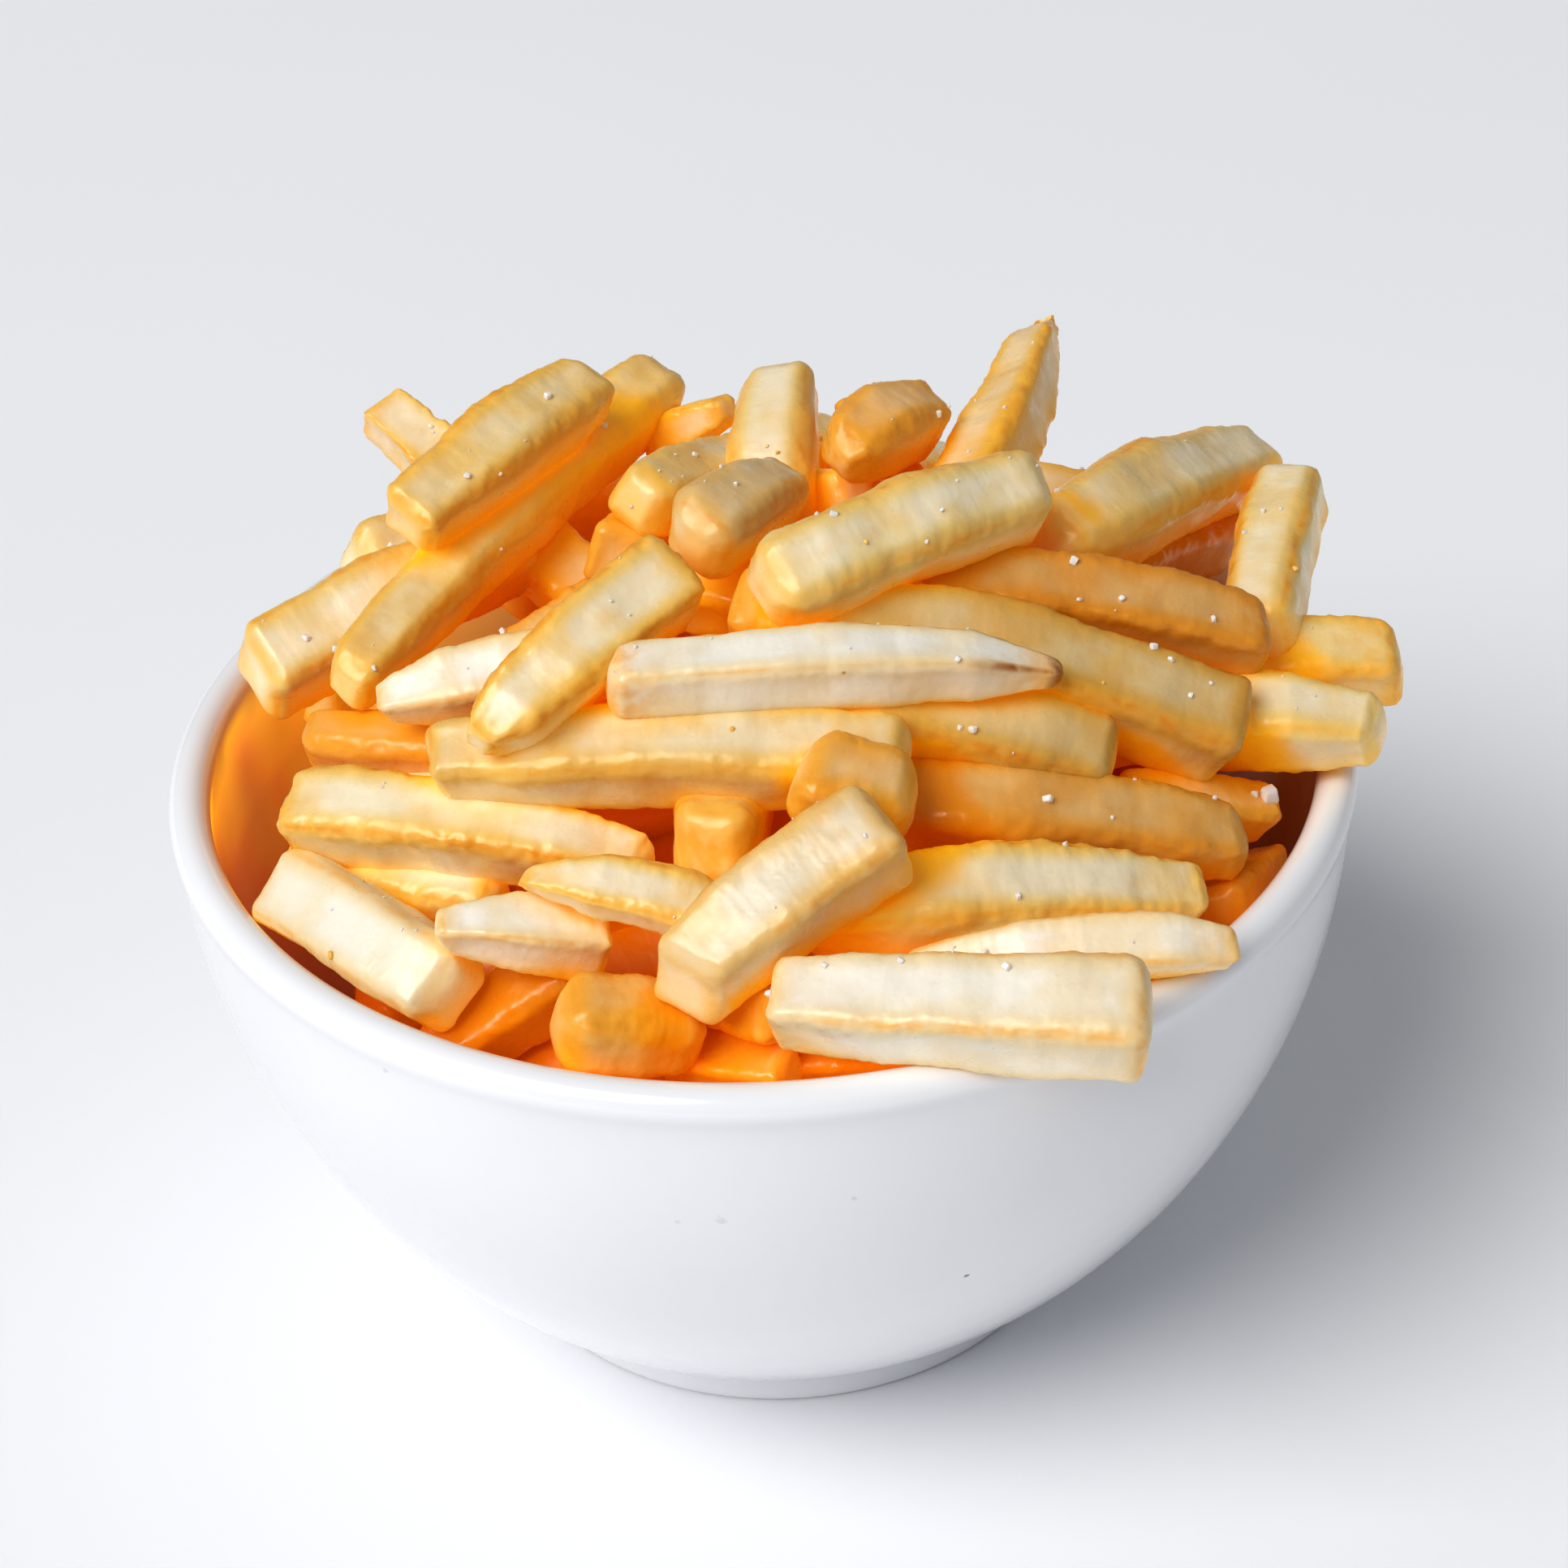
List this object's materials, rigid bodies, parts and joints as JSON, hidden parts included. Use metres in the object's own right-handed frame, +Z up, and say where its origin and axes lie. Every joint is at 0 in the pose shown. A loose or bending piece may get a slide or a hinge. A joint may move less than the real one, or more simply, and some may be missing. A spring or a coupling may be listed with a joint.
{
  "type": "french fries portion in a bowl",
  "caption": "Heaped portion of thick-cut french fries in a round white glazed bowl, some resting over the rim.",
  "frame": {"origin": "centre of the bowl's foot, on the table", "axes": "+Z up along the bowl's axis, -Y towards the side where the fries lie over the rim at the front, +X towards the pair of fries that lie over the rim at the side"},
  "size_m": [0.1453, 0.141, 0.1105],
  "materials": {
    "glaze": "gloss",
    "potato": "satin"
  },
  "bodies": {
    "root": {"bowl": "glaze", "fries": "potato"}
  },
  "joints": []
}
